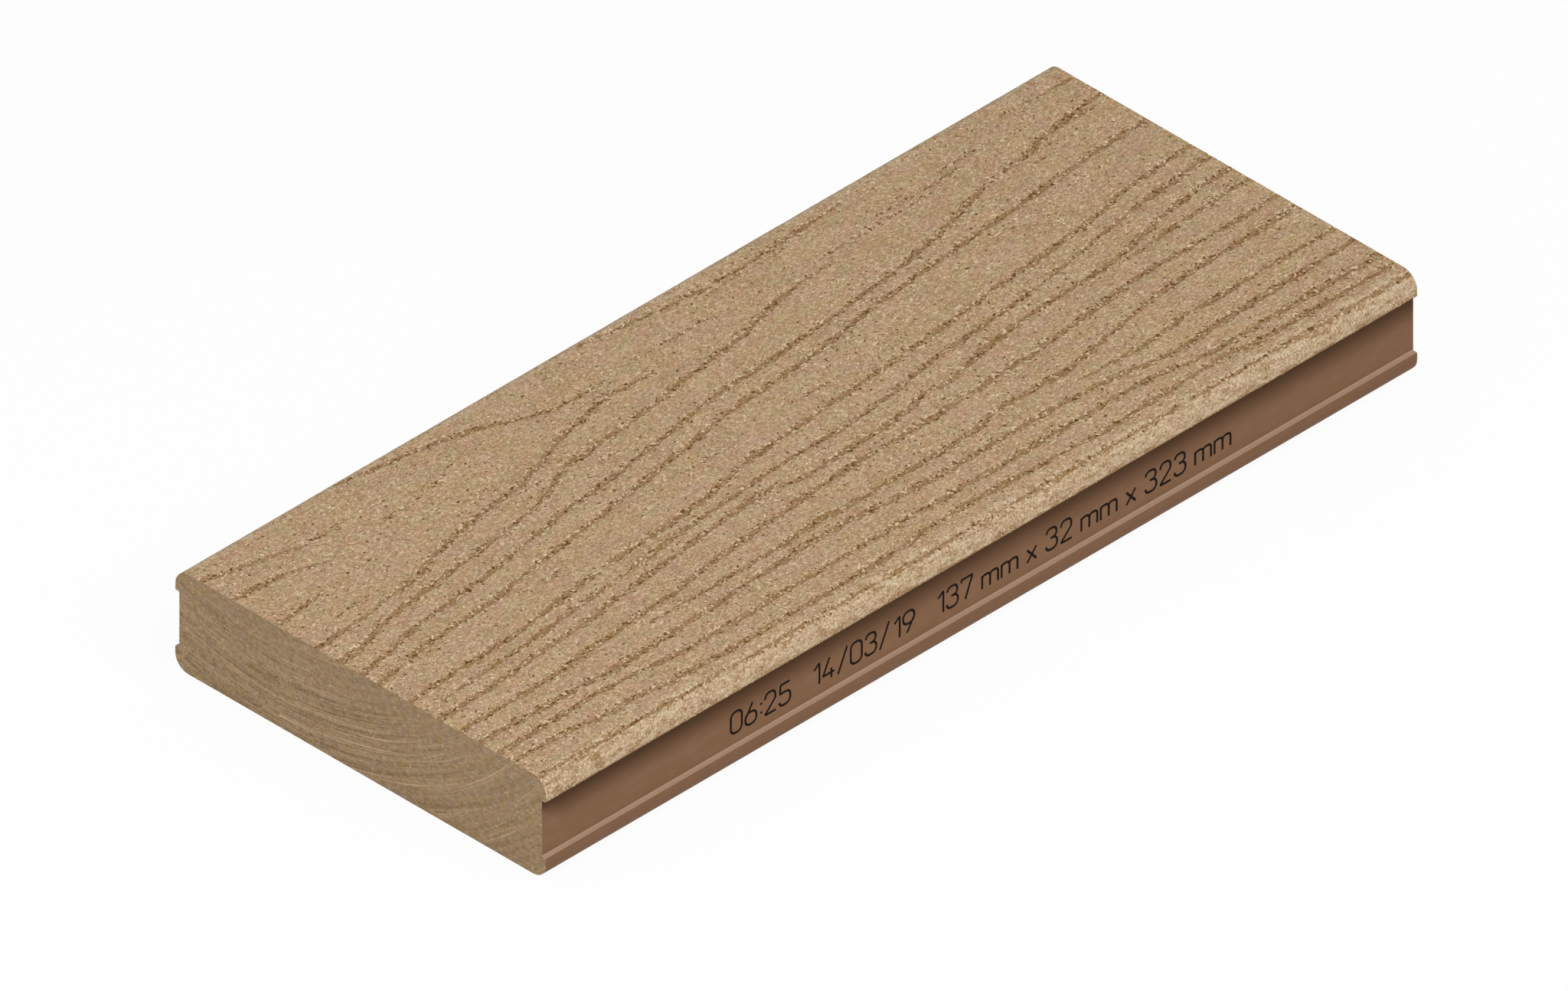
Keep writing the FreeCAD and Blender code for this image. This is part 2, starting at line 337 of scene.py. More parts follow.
def mask(tree, *parts):
    """1 where every part is 1. A part is an output, a number, or (value, start, end), which is 0 where the
    value is before start, 1 past end, and a smooth ramp between. end may be below start."""
    whole = None
    for part in parts:
        if isinstance(part, tuple):
            value, start, end = part
            part = add_node(tree, "ShaderNodeMapRange",
                            {"Value": value, "From Min": start, "From Max": end},
                            interpolation_type="SMOOTHSTEP").outputs["Result"]
        if whole is None:
            whole = part
        else:
            whole = add_node(tree, "ShaderNodeMath", {0: whole, 1: part}, operation="MULTIPLY").outputs[0]
    return whole


def ragged_edge(tree, position, edge, detail):
    """The distance outside a groove's edge, in metres, with the torn outline that press and brush leave."""
    noise = clump_noise(tree, position, RAGGED_CLUMP_MM, detail)
    centred = add_node(tree, "ShaderNodeMath", {0: noise, 1: NOISE_MIDDLE}, operation="SUBTRACT")
    torn = add_node(tree, "ShaderNodeMath", {0: centred.outputs[0], 1: RAGGED_REACH_MM * MM, 2: edge},
                    operation="MULTIPLY_ADD")
    return torn.outputs[0]


def torn_spots(tree, position, clump_mm, offset, grit, share):
    """Level of sparse spots, whose outlines the grit tears in and out. share tells how far, and which way."""
    plain = clump_noise(tree, position, clump_mm, detail=0.0, offset=offset)
    centred = add_node(tree, "ShaderNodeMath", {0: grit, 1: NOISE_MIDDLE}, operation="SUBTRACT")
    torn = add_node(tree, "ShaderNodeMath", {0: centred.outputs[0], 1: share, 2: plain},
                    operation="MULTIPLY_ADD")
    return torn.outputs[0]


def divided(start, end, step):
    """Points from start to end, both included, no further apart than step."""
    count = max(1, math.ceil(math.dist(start, end) / step))
    return [tuple(a + (b - a) * i / count for a, b in zip(start, end)) for i in range(count + 1)]


def arc(centre, radius, start_degrees, end_degrees, steps):
    """Points of an arc of the section, both ends included. Angles go from +Y towards +Z."""
    turns = [math.radians(start_degrees + (end_degrees - start_degrees) * i / steps)
             for i in range(steps + 1)]
    return [(centre[0] + radius * math.cos(turn), centre[1] + radius * math.sin(turn)) for turn in turns]


def half_section(sizes):
    """The section's right half as (y, z) places, from the underside's middle to the walking face's."""
    side = sizes.width / 2
    wall = side - sizes.groove_depth
    floor = sizes.lower_lip
    ceiling = sizes.thickness - sizes.upper_lip
    corner = sizes.corner_radius
    top_turn = (side - sizes.top_radius, sizes.thickness - sizes.top_radius)
    face_steps = math.ceil(sizes.top_radius * math.pi / 2 / sizes.step_across)

    stretches = [
        divided((0.0, 0.0), (side - sizes.bottom_radius, 0.0), sizes.width / 8),
        arc((side - sizes.bottom_radius, sizes.bottom_radius), sizes.bottom_radius, -90, 0, 6),
        arc((side - corner, floor - corner), corner, 0, 90, 3),
        arc((wall + corner, floor + corner), corner, 270, 180, 3),
        arc((wall + corner, ceiling - corner), corner, 180, 90, 3),
        arc((side - corner, ceiling + corner), corner, -90, 0, 3),
        divided((side, ceiling + corner), (side, top_turn[1]), sizes.step_across),
        arc(top_turn, sizes.top_radius, 0, 90, face_steps),
        divided((top_turn[0], sizes.thickness), (0.0, sizes.thickness), sizes.step_across),
    ]
    places = [stretches[0][0]]
    for stretch in stretches:
        places += [place for place in stretch if math.dist(place, places[-1]) > 0.01 * MM]
    return places


def section_mesh(sizes):
    """The closed section. "across" is each place's way round to the middle of the walking face."""
    half = half_section(sizes)
    gone = [0.0]
    for place, following in zip(half, half[1:]):
        gone.append(gone[-1] + math.dist(place, following))
    across = [gone[-1] - way for way in gone]

    places = half + [(-y, z) for y, z in reversed(half[1:-1])]
    across += [-way for way in reversed(across[1:-1])]
    count = len(places)
    # A profile that is swept along +X lies with its own x along -Y and its own y along -Z.
    mesh = bpy.data.meshes.new("board_section")
    edges = [(i, (i + 1) % count) for i in range(count)]
    mesh.from_pydata([(-y, -z, 0.0) for y, z in places], edges, [])
    mesh.attributes.new("across", "FLOAT", "POINT").data.foreach_set("value", across)
    return mesh


def grain_mesh(sizes):
    """The grain lines on a flat map of the face: x along, y across. "share" is each place's width."""
    places, edges, shares = [], [], []
    for share, line in GRAIN_LINES:
        first = len(places)
        places += [(along * MM - sizes.length / 2, sizes.width / 2 - across * MM, 0.0)
                   for along, across in line]
        edges += [(i, i + 1) for i in range(first, len(places) - 1)]
        shares += [share] * len(line)
        for end in (first, len(places) - 1):
            if abs(places[end][0]) < sizes.length / 2:
                shares[end] *= TAPERED_END_SHARE
    mesh = bpy.data.meshes.new("grain_lines")
    mesh.from_pydata(places, edges, [])
    mesh.attributes.new("share", "FLOAT", "POINT").data.foreach_set("value", shares)
    return mesh


def new_object(name, data):
    """An object of that name in the scene, at the origin."""
    made = bpy.data.objects.new(name, data)
    bpy.context.scene.collection.objects.link(made)
    return made


def new_geometry_tree(name, inputs):
    """A Geometry Nodes tree with geometry in and out and the named inputs, and its input node."""
    tree = bpy.data.node_groups.new(name, "GeometryNodeTree")
    tree.interface.new_socket("Geometry", in_out="INPUT", socket_type="NodeSocketGeometry")
    tree.interface.new_socket("Geometry", in_out="OUTPUT", socket_type="NodeSocketGeometry")
    for label, kind in inputs.items():
        tree.interface.new_socket(label, in_out="INPUT", socket_type=kind)
    return tree, add_node(tree, "NodeGroupInput")


def make_with_nodes(piece, tree, values):
    """Runs the tree on the piece with those inputs and keeps the result as the piece's own plain mesh."""
    modifier = piece.modifiers.new(tree.name, "NODES")
    modifier.node_group = tree
    for item in tree.interface.items_tree:
        if item.in_out == "INPUT" and item.name in values:
            modifier[item.identifier] = values[item.name]
    depsgraph = bpy.context.evaluated_depsgraph_get()
    made = bpy.data.meshes.new_from_object(piece.evaluated_get(depsgraph), preserve_all_data_layers=True,
                                           depsgraph=depsgraph)
    piece.modifiers.clear()
    piece.data = made
    made.name = piece.name


def sweep_section(tree, given):
    """The section carried along the board, with its ends closed. Returns the geometry."""
    ends = []
    for share in (-0.5, 0.5):
        along = add_node(tree, "ShaderNodeMath", {0: given["Length"], 1: share}, operation="MULTIPLY")
        ends.append(add_node(tree, "ShaderNodeCombineXYZ", {"X": along.outputs[0]}).outputs[0])
    line = add_node(tree, "GeometryNodeCurvePrimitiveLine", {"Start": ends[0], "End": ends[1]})
    path = add_node(tree, "GeometryNodeResampleCurve",
                    {"Curve": line.outputs[0], "Length": given["Step Along"]}, mode="LENGTH")
    profile = add_node(tree, "GeometryNodeMeshToCurve", {"Mesh": given["Geometry"]})
    swept = add_node(tree, "GeometryNodeCurveToMesh",
                     {"Curve": path.outputs[0], "Profile Curve": profile.outputs[0], "Fill Caps": True})
    return swept.outputs[0]


def groove_edge_distance(tree, given, position):
    """How far a point lies outside the nearest grain groove's edge, in metres: below 0 in the groove."""
    # The lines stray by a slow noise, with a quicker one on it, because the drawn places are far apart.
    slow = clump_noise(tree, position, (14, 14, 14), detail=3.0, offset=31.0)
    centred = add_node(tree, "ShaderNodeMath", {0: slow, 1: NOISE_MIDDLE}, operation="SUBTRACT").outputs[0]
    across = add_node(tree, "GeometryNodeInputNamedAttribute", {"Name": "across"}, data_type="FLOAT")
    strayed = add_node(tree, "ShaderNodeMath",
                       {0: centred, 1: given["Wander"], 2: across.outputs["Attribute"]},
                       operation="MULTIPLY_ADD").outputs[0]
    along = add_node(tree, "ShaderNodeSeparateXYZ", {0: position}).outputs["X"]
    on_map = add_node(tree, "ShaderNodeCombineXYZ", {"X": along, "Y": strayed}).outputs[0]

    lines = add_node(tree, "GeometryNodeObjectInfo", {"Object": given["Grain Lines"]})
    curves = add_node(tree, "GeometryNodeMeshToCurve", {"Mesh": lines.outputs["Geometry"]})
    rounded = add_node(tree, "GeometryNodeCurveSplineType", {"Curve": curves.outputs[0]},
                       spline_type="CATMULL_ROM")
    dense = add_node(tree, "GeometryNodeResampleCurve", {"Curve": rounded.outputs[0], "Length": LINE_STEP},
                     mode="LENGTH")
    threads = add_node(tree, "GeometryNodeCurveToMesh", {"Curve": dense.outputs[0]}).outputs[0]
    near = add_node(tree, "GeometryNodeProximity", {"Geometry": threads, "Sample Position": on_map},
                    target_element="EDGES")
    nearest = add_node(tree, "GeometryNodeSampleNearest", {"Geometry": threads, "Sample Position": on_map},
                       domain="POINT")
    share = add_node(tree, "GeometryNodeInputNamedAttribute", {"Name": "share"}, data_type="FLOAT")
    own_share = add_node(tree, "GeometryNodeSampleIndex",
                         {"Geometry": threads, "Value": share.outputs["Attribute"],
                          "Index": nearest.outputs[0]},
                         data_type="FLOAT", domain="POINT").outputs[0]

    # A groove swells and narrows along its length, between half and one and a half times its width.
    swell = clump_noise(tree, position, (11, 5, 5), offset=7.0)
    swing = add_node(tree, "ShaderNodeMapRange", {"Value": swell, "From Min": 0.3, "From Max": 0.7,
                                                  "To Min": 0.25, "To Max": 0.75}).outputs["Result"]
    half_width = add_node(tree, "ShaderNodeMath", {0: given["Groove Width"], 1: swing},
                          operation="MULTIPLY").outputs[0]
    own_half_width = add_node(tree, "ShaderNodeMath", {0: half_width, 1: own_share},
                              operation="MULTIPLY").outputs[0]
    return add_node(tree, "ShaderNodeMath", {0: near.outputs["Distance"], 1: own_half_width},
                    operation="SUBTRACT").outputs[0]


def press_grain(tree, given, board):
    """Presses the grain into the walking face, inwards only, and keeps the distance for the material."""
    position = add_node(tree, "GeometryNodeInputPosition").outputs[0]
    edge = groove_edge_distance(tree, given, position)
    kept = add_node(tree, "GeometryNodeStoreNamedAttribute",
                    {"Geometry": board, "Name": "groove_edge", "Value": edge},
                    data_type="FLOAT", domain="POINT").outputs[0]

    # The mesh has room only for the coarse half of the torn edge. The material's relief adds the fine half.
    # The ends' edges are straight in the photograph, so the grooves run out just before the saw cut.
    ragged = ragged_edge(tree, position, edge, detail=0.0)
    place = add_node(tree, "ShaderNodeSeparateXYZ", {0: position}).outputs
    along = add_node(tree, "ShaderNodeMath", {0: place["X"]}, operation="ABSOLUTE").outputs[0]
    half = add_node(tree, "ShaderNodeMath", {0: given["Length"], 1: 0.5}, operation="MULTIPLY").outputs[0]
    to_cut = add_node(tree, "ShaderNodeMath", {0: half, 1: along}, operation="SUBTRACT").outputs[0]
    pressed = mask(tree, (ragged, *GROOVE_SLOPE), (to_cut, *RUN_OUT))
    groove = add_node(tree, "ShaderNodeMath", {0: pressed, 1: given["Groove Depth"]}, operation="MULTIPLY")
    brushed = clump_noise(tree, position, (4.0, 1.2, 1.2), detail=3.0, offset=3.0)
    depth = add_node(tree, "ShaderNodeMath", {0: brushed, 1: given["Brushing"], 2: groove.outputs[0]},
                     operation="MULTIPLY_ADD").outputs[0]

    # The press and the brush reach down the lip's outer face, and fade out just above its lower arris.
    full = add_node(tree, "ShaderNodeMath", {0: given["Lip Level"], 1: PRESS_FADE}, operation="ADD")
    reached = mask(tree, (place["Z"], given["Lip Level"], full.outputs[0]))
    inwards = add_node(tree, "ShaderNodeMath", {0: reached, 1: -1.0}, operation="MULTIPLY").outputs[0]
    shift = add_node(tree, "ShaderNodeMath", {0: depth, 1: inwards}, operation="MULTIPLY").outputs[0]

    # Nothing moves along the board, so the sawn ends stay flat.
    normal = add_node(tree, "GeometryNodeInputNormal").outputs[0]
    in_section = add_node(tree, "ShaderNodeVectorMath", {0: normal, 1: (0.0, 1.0, 1.0)},
                          operation="MULTIPLY")
    outwards = add_node(tree, "ShaderNodeVectorMath", {0: in_section.outputs[0]}, operation="NORMALIZE")
    moved = add_node(tree, "ShaderNodeVectorMath", {0: outwards.outputs[0], "Scale": shift},
                     operation="SCALE").outputs[0]
    return add_node(tree, "GeometryNodeSetPosition", {"Geometry": kept, "Offset": moved}).outputs[0]


def finish_faces(tree, given, board):
    """Smooth shading, and the three finishes: skin all over, brushed down to the arris, sawn at the ends."""
    smooth = add_node(tree, "GeometryNodeSetShadeSmooth", {"Geometry": board, "Shade Smooth": True})
    real = add_node(tree, "GeometryNodeRealizeInstances", {"Geometry": smooth.outputs[0]}).outputs[0]
    position = add_node(tree, "GeometryNodeInputPosition").outputs[0]
    height = add_node(tree, "ShaderNodeSeparateXYZ", {0: position}).outputs["Z"]
    above = add_node(tree, "FunctionNodeCompare", {"A": height, "B": given["Brushed Level"]},
                     data_type="FLOAT", operation="GREATER_THAN").outputs[0]
    normal = add_node(tree, "GeometryNodeInputNormal").outputs[0]
    lengthwise = add_node(tree, "ShaderNodeSeparateXYZ", {0: normal}).outputs["X"]
    facing = add_node(tree, "ShaderNodeMath", {0: lengthwise}, operation="ABSOLUTE").outputs[0]
    at_end = add_node(tree, "FunctionNodeCompare", {"A": facing, "B": END_FACING},
                      data_type="FLOAT", operation="GREATER_THAN").outputs[0]
    for label, where in (("Skin", True), ("Brushed", above), ("Sawn", at_end)):
        real = add_node(tree, "GeometryNodeSetMaterial",
                        {"Geometry": real, "Selection": where, "Material": given[label]}).outputs[0]
    return real


def board_tree():
    """The tree that makes the board from its section: swept, embossed and given its finishes."""
    tree, start = new_geometry_tree("embossed_board", {
        "Grain Lines": "NodeSocketObject", "Length": "NodeSocketFloat", "Step Along": "NodeSocketFloat",
        "Lip Level": "NodeSocketFloat", "Brushed Level": "NodeSocketFloat",
        "Groove Width": "NodeSocketFloat", "Groove Depth": "NodeSocketFloat", "Wander": "NodeSocketFloat",
        "Brushing": "NodeSocketFloat", "Skin": "NodeSocketMaterial", "Brushed": "NodeSocketMaterial",
        "Sawn": "NodeSocketMaterial",
    })
    given = start.outputs
    swept = sweep_section(tree, given)
    embossed = press_grain(tree, given, swept)
    add_node(tree, "NodeGroupOutput", {"Geometry": finish_faces(tree, given, embossed)})
    return tree


def new_material(name):
    """An empty material. Returns it and its tree."""
    material = bpy.data.materials.new(name)
    material.use_nodes = True
    material.node_tree.nodes.clear()
    return material, material.node_tree


def painted(tree, base, layers):
    """Lays each colour over what is below it. layers are (strength, colour, parts of the mask)."""
    colour = base
    for strength, over, *parts in layers:
        share = mask(tree, *parts, strength)
        colour = add_node(tree, "ShaderNodeMixRGB",
                          {"Fac": share, "Color1": colour, "Color2": over}).outputs["Color"]
    return colour


def relief(tree, layers):
    """The sum of the layers' heights in metres. layers are (mask, height in mm)."""
    height = 0.0
    for layer, rise in layers:
        height = add_node(tree, "ShaderNodeMath", {0: layer, 1: rise * MM, 2: height},
                          operation="MULTIPLY_ADD").outputs[0]
    return height


def finish_surface(tree, colour, height, roughness, specular):
    """Joins colour and relief in the shader and the material's output. Heights are in metres."""
    bump = add_node(tree, "ShaderNodeBump", {"Height": height, "Distance": 1.0, "Strength": 1.0})
    shader = add_node(tree, "ShaderNodeBsdfPrincipled", {
        "Base Color": colour, "Roughness": roughness, "IOR": 1.5, "Specular IOR Level": specular,
        "Normal": bump.outputs[0]})
    add_node(tree, "ShaderNodeOutputMaterial", {"Surface": shader.outputs[0]})


def brushed_composite(sizes, colours):
    """Wood-plastic composite, embossed and wire-brushed: dry and sandy, with pale raised fibres, torn ticks,
    and darker brown where the press reached and the brush didn't. A painted highlight pales the lip, and
    painted shade darkens the ticks and the lip's lower edge."""
    material, tree = new_material("wood_plastic_composite_brushed")
    position = add_node(tree, "ShaderNodeTexCoord").outputs["Object"]
    place = add_node(tree, "ShaderNodeSeparateXYZ", {0: position}).outputs

    # Where a point lies to the grain grooves. The brush wore some of them away.
    stored = add_node(tree, "ShaderNodeAttribute", {}, attribute_name="groove_edge").outputs["Fac"]
    edge = ragged_edge(tree, position, stored, detail=3.0)
    worn = clump_noise(tree, position, (6.0, 2.5, 2.5), detail=1.0, offset=43.0)
    core = mask(tree, (stored, 0.0, -0.3 * MM))
    pressed = add_node(tree, "ShaderNodeMath", {0: mask(tree, (edge, 0.3 * MM, -0.25 * MM)), 1: core},
                       operation="MAXIMUM").outputs[0]
    in_groove = mask(tree, pressed, (worn, 0.24, 0.4))
    by_tick = mask(tree, (edge, 1.1 * MM, 0.3 * MM))

    # Where it lies on the lip, and above the lip's lower edge.
    from_middle = add_node(tree, "ShaderNodeMath", {0: place["Y"]}, operation="ABSOLUTE").outputs[0]
    lip_start = sizes.width / 2 - LIP_REACH
    on_lip = mask(tree, (from_middle, lip_start, lip_start + LIP_BLEND))
    off_lip = add_node(tree, "ShaderNodeMath", {0: 1.0, 1: on_lip}, operation="SUBTRACT").outputs[0]
    calm = add_node(tree, "ShaderNodeMath", {0: on_lip, 1: -0.15, 2: 1.0},
                    operation="MULTIPLY_ADD").outputs[0]
    on_land = add_node(tree, "ShaderNodeMath", {0: in_groove, 1: -0.6, 2: calm},
                       operation="MULTIPLY_ADD").outputs[0]
    height = place["Z"]
    lip_bottom = sizes.thickness - sizes.upper_lip
    under_lip = (height, lip_bottom + 2.6 * MM, lip_bottom + 1.0 * MM)
    seam = (height, lip_bottom + 1.2 * MM, lip_bottom + 0.3 * MM)
    # The lip's lower edge: a brown line along the arris, deepened with painted shade, then painted shade
    # alone where the rounding turns down.
    arris = (height, lip_bottom + 0.9 * MM, lip_bottom + 0.3 * MM)
    arris_painted_shade = (height, lip_bottom + 0.5 * MM, lip_bottom + 0.1 * MM)

    # Wood flour is ground to about half a millimetre, and brushing draws some of it out along the board.
    grit = clump_noise(tree, position, (0.54, 0.5, 0.5), detail=1.0, offset=11.0)
    streaks = clump_noise(tree, position, (2.0, 0.6, 0.6), detail=1.0, offset=13.0)
    strokes = clump_noise(tree, position, (4.0, 1.7, 1.7), detail=3.0, offset=81.0)
    mottle = clump_noise(tree, position, (1.05, 0.95, 0.95), offset=15.0)
    patches = clump_noise(tree, position, (20, 8, 8), offset=5.0)
    redness = clump_noise(tree, position, (7.0, 4.5, 4.5), detail=4.0, offset=47.0)
    yellowness = clump_noise(tree, position, (8.0, 5.0, 5.0), detail=4.0, offset=61.0)

    # Flecks, pits and curls lie everywhere, but closer together by the grooves, where the face is torn, and
    # at the near end's right, which the saw frayed. The lip is calmer. Each tick that is torn out of a groove
    # is darkened with painted shade, and throws up a pale curl beside it that carries a painted highlight, so
    # the curls' noise is the ticks' own, moved on a little and always the same way.
    frayed = mask(tree, (place["X"], FRAYED_ALONG - sizes.length / 2, -sizes.length / 2),
                  (place["Y"], FRAYED_ACROSS, 0.0))
    tearing = clump_noise(tree, position, (26, 13, 13), detail=1.0, offset=53.0)
    rough = mask(tree, (edge, 2.5 * MM, 0.0))
    for where in (mask(tree, (tearing, 0.42, 0.62)), frayed):
        rough = add_node(tree, "ShaderNodeMath", {0: rough, 1: where}, operation="MAXIMUM").outputs[0]
    rough = mask(tree, rough, calm)
    tick_level = torn_spots(tree, position, (1.2, 1.0, 1.0), 17.0, grit, -GRIT_SHARE)
    curl_level = torn_spots(tree, position, (1.2, 1.0, 1.0), 17.6, grit, GRIT_SHARE)
    fleck_level = torn_spots(tree, position, (0.95, 0.75, 0.75), 41.0, grit, GRIT_SHARE)
    pit_level = torn_spots(tree, position, (1.35, 1.1, 1.1), 37.0, grit, -GRIT_SHARE)
    tick = mask(tree, (tick_level, 0.67, 0.73), by_tick)
    curl = mask(tree, (curl_level, 0.69, 0.76), by_tick)
    near_fleck = mask(tree, (fleck_level, 0.66, 0.74), rough)
    near_pit = mask(tree, (pit_level, 0.72, 0.78), rough, off_lip)
    rows = clump_noise(tree, position, (3.0, 0.55, 0.55), detail=0.0, offset=23.0)
    fields = clump_noise(tree, position, (30, 12, 12), detail=1.0, offset=29.0)

    # A hairline scratch follows a contour of a slow noise for as long as a second noise lets it.
    contour = clump_noise(tree, position, (4.0, 3.0, 3.0), detail=1.0, offset=71.0)
    from_contour = add_node(tree, "ShaderNodeMath", {0: contour, 1: NOISE_MIDDLE}, operation="SUBTRACT")
    away = add_node(tree, "ShaderNodeMath", {0: from_contour.outputs[0]}, operation="ABSOLUTE").outputs[0]
    scratched = clump_noise(tree, position, (5.0, 4.0, 4.0), detail=1.0, offset=73.0)

    colour = painted(tree, colours.face, [
        (0.18, colours.face_pale, (patches, 0.45, 0.7)),
        (0.18, colours.face_dark, (patches, 0.52, 0.3)),
        (0.7, colours.face_warm, (redness, 0.5, 0.64)),
        (0.7, colours.face_cool, (redness, 0.5, 0.36)),
        (0.38, colours.face_gold, (yellowness, 0.5, 0.64)),
        (0.38, colours.face_ashen, (yellowness, 0.5, 0.36)),
        # Painted highlight over the whole lip.
        (0.55, colours.lip, on_lip),
        (0.6, colours.face_pale, (mottle, 0.5, 0.7)),
        (0.6, colours.face_dark, (mottle, 0.5, 0.3)),
        (0.12, colours.face_pale, (streaks, 0.5, 0.7)),
        (0.12, colours.face_dark, (streaks, 0.5, 0.3)),
        (0.5, colours.lip_pale, on_lip, (strokes, 0.53, 0.64)),
        (0.75, colours.groove, on_lip, (strokes, 0.43, 0.36)),
        (0.75, colours.groove, under_lip, (strokes, 0.52, 0.45)),
        (0.45, colours.groove, on_lip, frayed, (strokes, 0.5, 0.42)),
        (0.55, colours.fleck, on_lip, (grit, 0.56, 0.7)),
        (0.4, colours.groove, on_lip, (grit, 0.44, 0.3)),
        (0.9, colours.groove, in_groove),
        (0.5, colours.groove_red, in_groove, (redness, 0.5, 0.62)),
        (0.5, colours.groove_gold, in_groove, (yellowness, 0.5, 0.62)),
        (0.4, colours.face, in_groove, (mottle, 0.5, 0.66)),
        (0.3, colours.pit, in_groove, (mottle, 0.5, 0.34)),
        (0.6, colours.groove, seam, (mottle, 0.6, 0.48)),
        # Brown line and painted shade along the lip's lower arris, then painted shade where the rounding
        # turns down.
        (0.75, colours.groove, arris),
        (0.6, colours.pit, arris_painted_shade),
        (0.5, colours.fleck, on_land, (grit, 0.52, 0.74)),
        (0.34, colours.pit, on_land, (grit, 0.48, 0.26)),
        (0.6, colours.fleck, near_fleck),
        (0.7, colours.fleck, (fleck_level, 0.73, 0.8), calm),
        # Painted highlight on the curls beside the ticks.
        (0.7, colours.fleck, curl),
        (0.3, colours.groove, (rows, 0.68, 0.74), (fields, 0.48, 0.58)),
        (0.4, colours.pit, (away, 0.012, 0.004), (scratched, 0.63, 0.67)),
        (0.7, colours.pit, near_pit),
        (0.85, colours.pit, (pit_level, 0.77, 0.81), off_lip),
        # Painted shade in the ticks.
        (0.9, colours.pit, tick),
    ])
    rise = relief(tree, [(grit, 0.08), (streaks, 0.03), (mottle, 0.2), (near_fleck, 0.05), (curl, 0.05),
                         (in_groove, -0.06), (near_pit, -0.06), (tick, -0.08)])
    finish_surface(tree, colour, rise, roughness=0.95, specular=0.05)
    return material


def blade_arcs(tree, position, hub):
    """Where a point of the sawn end lies to the blade: its radius about the hub, and its way round.
    The way moves on as the radius grows, so that neighbouring arcs end at different places."""
    from_hub = add_node(tree, "ShaderNodeVectorMath", {0: position, 1: (0.0, *hub)},
                        operation="SUBTRACT").outputs[0]
    parts = add_node(tree, "ShaderNodeSeparateXYZ", {0: from_hub}).outputs
    in_plane = add_node(tree, "ShaderNodeCombineXYZ", {"Y": parts["Y"], "Z": parts["Z"]}).outputs[0]
    radius = add_node(tree, "ShaderNodeVectorMath", {0: in_plane}, operation="LENGTH").outputs["Value"]
    turn = add_node(tree, "ShaderNodeMath", {0: parts["Y"], 1: parts["Z"]}, operation="ARCTAN2").outputs[0]
    way_round = add_node(tree, "ShaderNodeMath", {0: turn, 1: hub[1]}, operation="MULTIPLY").outputs[0]
    staggered = add_node(tree, "ShaderNodeMath", {0: radius, 1: ARC_STAGGER, 2: way_round},
                         operation="MULTIPLY_ADD").outputs[0]
    return add_node(tree, "ShaderNodeCombineXYZ", {"X": radius, "Y": staggered}).outputs[0]


def sawn_composite(colours):
    """Wood-plastic composite, cross-cut with a circular saw: flat and dull, with cut fibres as specks and
    thin straw-coloured arcs where the teeth smeared them."""
    material, tree = new_material("wood_plastic_composite_sawn")
    position = add_node(tree, "ShaderNodeTexCoord").outputs["Object"]
    place = add_node(tree, "ShaderNodeSeparateXYZ", {0: position}).outputs

    # The blade cut from left to right. It cut more cleanly as it went, and at the top.
    early = blade_arcs(tree, position, EARLY_HUB)
    late = blade_arcs(tree, position, LATE_HUB)
    below_top = mask(tree, (place["Z"], 28 * MM, 22 * MM))
    rag = mask(tree, (place["Y"], -70 * MM, 40 * MM), below_top)
    left = mask(tree, (place["Y"], -60 * MM, -5 * MM), below_top)
    right = mask(tree, (place["Y"], 35 * MM, -15 * MM))
    clusters = mask(tree, (clump_noise(tree, early, (5, 90, 1), detail=1.0, offset=9.0), 0.4, 0.6))
    marks = []
    for arcs, offset, side in ((early, 3.0, left), (late, 33.0, right)):
        lines = clump_noise(tree, arcs, (0.4, 45, 1), detail=1.0, offset=offset)
        breaks = clump_noise(tree, arcs, (1.5, 16, 1), offset=offset)
        marks.append(mask(tree, (lines, 0.57, 0.67), (breaks, 0.3, 0.6), clusters, side))
    bands = clump_noise(tree, early, (2.4, 50, 1), detail=3.0, offset=21.0)
    scoring = clump_noise(tree, early, (0.55, 11, 1), detail=3.0, offset=39.0)
    brushing = clump_noise(tree, late, (0.3, 3.0, 1), offset=27.0)
    clumps = clump_noise(tree, position, (1.6, 1.9, 1.2), offset=31.0)
    specks = clump_noise(tree, position, (0.6, 0.6, 0.55), detail=1.0, offset=13.0)
    fibres = clump_noise(tree, position, (1.0, 1.1, 0.9), offset=37.0)
    redness = clump_noise(tree, position, (3.0, 3.0, 3.0), detail=4.0, offset=47.0)

    colour = painted(tree, colours.sawn, [
        (0.7, colours.sawn_warm, (redness, 0.5, 0.64)),
        (0.6, colours.sawn_cool, (redness, 0.5, 0.36)),
        (0.2, colours.sawn_dark, (bands, 0.5, 0.37)),
        (0.12, colours.saw_mark, (bands, 0.5, 0.65)),
        (0.34, colours.sawn_dark, left, (bands, 0.52, 0.38)),
        (0.3, colours.sawn_dark, (clumps, 0.5, 0.34)),
        (0.25, colours.saw_mark, (clumps, 0.52, 0.66)),
        (0.18, colours.sawn_dark, (brushing, 0.5, 0.34)),
        (0.14, colours.saw_mark, (brushing, 0.5, 0.7)),
        (0.2, colours.sawn_dark, (specks, 0.46, 0.28)),
        (0.18, colours.saw_mark, (specks, 0.54, 0.72)),
        (0.25, colours.sawn_dark, rag, (clumps, 0.44, 0.34)),
        (0.3, colours.sawn_dark, rag, (scoring, 0.5, 0.36)),
        (0.4, colours.saw_mark, rag, (scoring, 0.5, 0.64)),
        (0.35, colours.saw_mark, rag, (specks, 0.56, 0.7)),
        (0.9, colours.straw, marks[0]),
        (0.6, colours.straw, marks[1]),
        (0.7, colours.straw, (fibres, 0.66, 0.72)),
        (0.5, colours.pit, (fibres, 0.33, 0.28)),
    ])
    rise = relief(tree, [(specks, 0.07), (brushing, 0.05), (marks[0], -0.04), (clumps, 0.15)])
    finish_surface(tree, colour, rise, roughness=0.85, specular=0.15)
    return material


